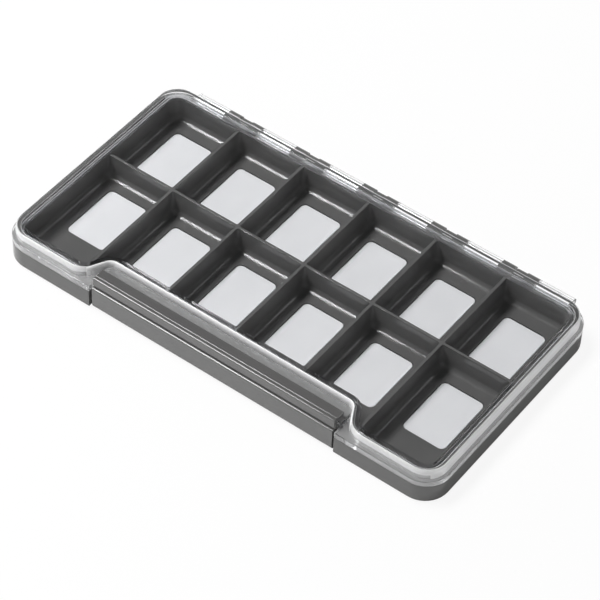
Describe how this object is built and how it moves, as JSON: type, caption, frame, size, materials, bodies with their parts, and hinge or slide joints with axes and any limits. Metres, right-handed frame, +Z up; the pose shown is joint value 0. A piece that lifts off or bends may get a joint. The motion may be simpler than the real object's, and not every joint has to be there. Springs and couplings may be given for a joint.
{
  "type": "fly box",
  "caption": "Slim fly box: a grey tray of compartments with magnetic pads under a clear lid hinged at the back, closed by a long latch bar.",
  "frame": {"origin": "centre of the tray's flat underside", "axes": "+X along the box, +Y towards the lid's hinge with the latch at -Y, +Z up"},
  "size_m": [0.1898, 0.1042, 0.015],
  "materials": {
    "tray": "dark grey, finely textured",
    "latch": "mid grey, finely textured",
    "clear_lid": "clear, polished",
    "seal": "soft white silicone",
    "pad": "white magnetic sheet, matte",
    "pin": "drawn steel wire"
  },
  "bodies": {
    "base": {"base_tray": "tray", "lid_hinge_pin": "pin", "latch_pin_left": "pin", "latch_pin_right": "pin", "magnet_pad_back_1": "pad", "magnet_pad_back_2": "pad", "magnet_pad_back_3": "pad", "magnet_pad_back_4": "pad", "magnet_pad_back_5": "pad", "magnet_pad_back_6": "pad", "magnet_pad_front_1": "pad", "magnet_pad_front_2": "pad", "magnet_pad_front_3": "pad", "magnet_pad_front_4": "pad", "magnet_pad_front_5": "pad", "magnet_pad_front_6": "pad"},
    "lid": {"lid": "clear_lid", "lid_seal": "seal"},
    "latch": {"latch": "latch"}
  },
  "joints": [
    {"name": "lid_hinge", "type": "hinge", "parent": "base", "child": "lid", "pos_m": [0, 0.05245, 0.0086], "axis": [-1, 0, 0], "range_deg": [0, 180]},
    {"name": "latch_hinge", "type": "hinge", "parent": "base", "child": "latch", "pos_m": [0, -0.04735, 0.00235], "axis": [1, 0, 0], "range_deg": [0, 90]}
  ]
}
